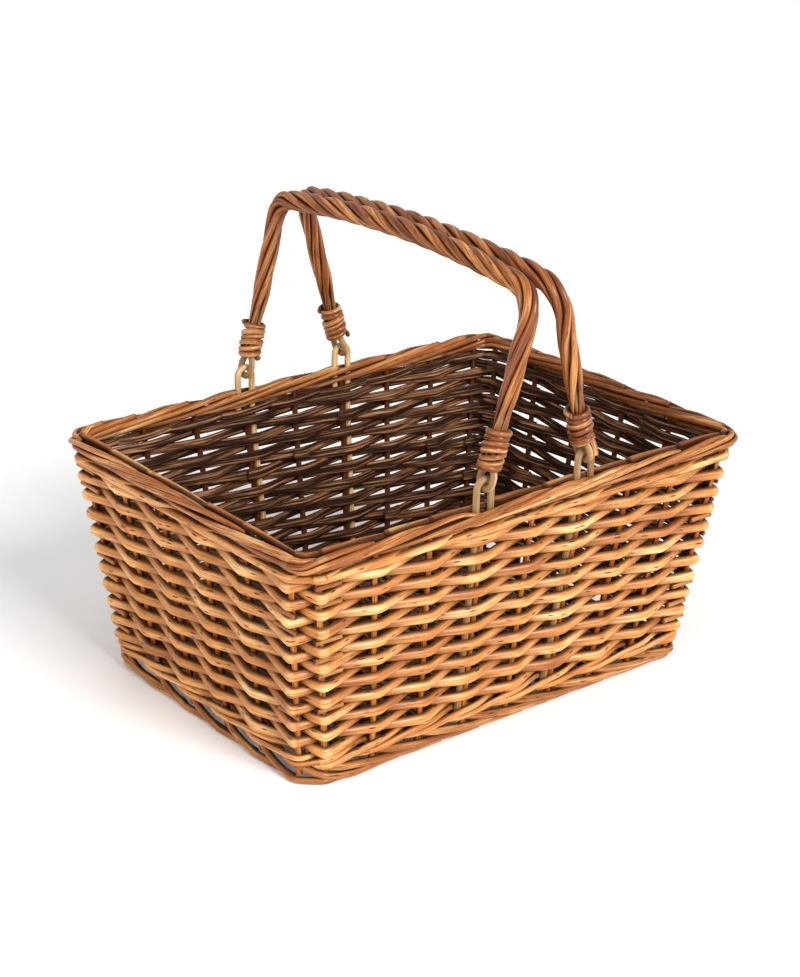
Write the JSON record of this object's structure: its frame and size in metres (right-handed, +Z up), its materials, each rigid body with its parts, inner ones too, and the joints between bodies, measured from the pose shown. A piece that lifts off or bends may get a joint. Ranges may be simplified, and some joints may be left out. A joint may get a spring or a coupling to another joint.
{
  "type": "woven market basket",
  "caption": "Flared rectangular basket woven from split willow round upright stakes, with a rolled rim and two twisted swing handles linked by cane eyes.",
  "frame": {"origin": "middle of the foot, on the surface that the basket stands on", "axes": "+X along the long side, +Y along the short side, towards the back, +Z up"},
  "size_m": [0.3998, 0.2912, 0.3338],
  "materials": {
    "split_willow": "satin",
    "stake_willow": "satin",
    "wale_willow": "satin",
    "border_willow": "satin",
    "foot_willow": "satin",
    "base_willow": "satin",
    "handle_willow": "satin",
    "binding_willow": "satin",
    "cane": "satin"
  },
  "bodies": {
    "basket": {"base_sticks": "base_willow", "base_weave": "base_willow", "foot_rail": "foot_willow", "foot_strands": "foot_willow", "lower_wale": "wale_willow", "weaver_row_01": "split_willow", "weaver_row_02": "split_willow", "weaver_row_03": "split_willow", "weaver_row_04": "split_willow", "weaver_row_05": "split_willow", "weaver_row_06": "split_willow", "weaver_row_07": "split_willow", "weaver_row_08": "split_willow", "weaver_row_09": "split_willow", "weaver_row_10": "split_willow", "weaver_row_11": "split_willow", "weaver_row_12": "split_willow", "weaver_row_13": "split_willow", "weaver_row_14": "split_willow", "weaver_row_15": "split_willow", "weaver_row_16": "split_willow", "weaver_row_17": "split_willow", "weaver_row_18": "split_willow", "weaver_row_19": "split_willow", "weaver_row_20": "split_willow", "upper_wale": "wale_willow", "rim_border": "border_willow", "front_stakes": "stake_willow", "right_stakes": "stake_willow", "back_stakes": "stake_willow", "left_stakes": "stake_willow", "corner_stakes": "stake_willow", "cane_loop_front_left": "cane", "cane_loop_front_right": "cane", "cane_loop_back_left": "cane", "cane_loop_back_right": "cane"},
    "left_handle": {"left_handle_core": "cane", "left_handle_strand_1": "handle_willow", "left_handle_strand_2": "handle_willow", "left_handle_strand_3": "handle_willow", "left_handle_strand_4": "handle_willow", "left_handle_strand_5": "handle_willow", "left_binding_front": "binding_willow", "left_binding_back": "binding_willow", "left_eye_front": "cane", "left_eye_back": "cane"},
    "right_handle": {"right_handle_core": "cane", "right_handle_strand_1": "handle_willow", "right_handle_strand_2": "handle_willow", "right_handle_strand_3": "handle_willow", "right_handle_strand_4": "handle_willow", "right_handle_strand_5": "handle_willow", "right_binding_front": "binding_willow", "right_binding_back": "binding_willow", "right_eye_front": "cane", "right_eye_back": "cane"}
  },
  "joints": [
    {"name": "left_handle_swing", "type": "hinge", "parent": "basket", "child": "left_handle", "pos_m": [-0.04466, 0, 0.189], "axis": [0, -1, 0], "range_deg": [0, 98]},
    {"name": "right_handle_swing", "type": "hinge", "parent": "basket", "child": "right_handle", "pos_m": [0.04466, 0, 0.189], "axis": [0, 1, 0], "range_deg": [0, 98]}
  ]
}
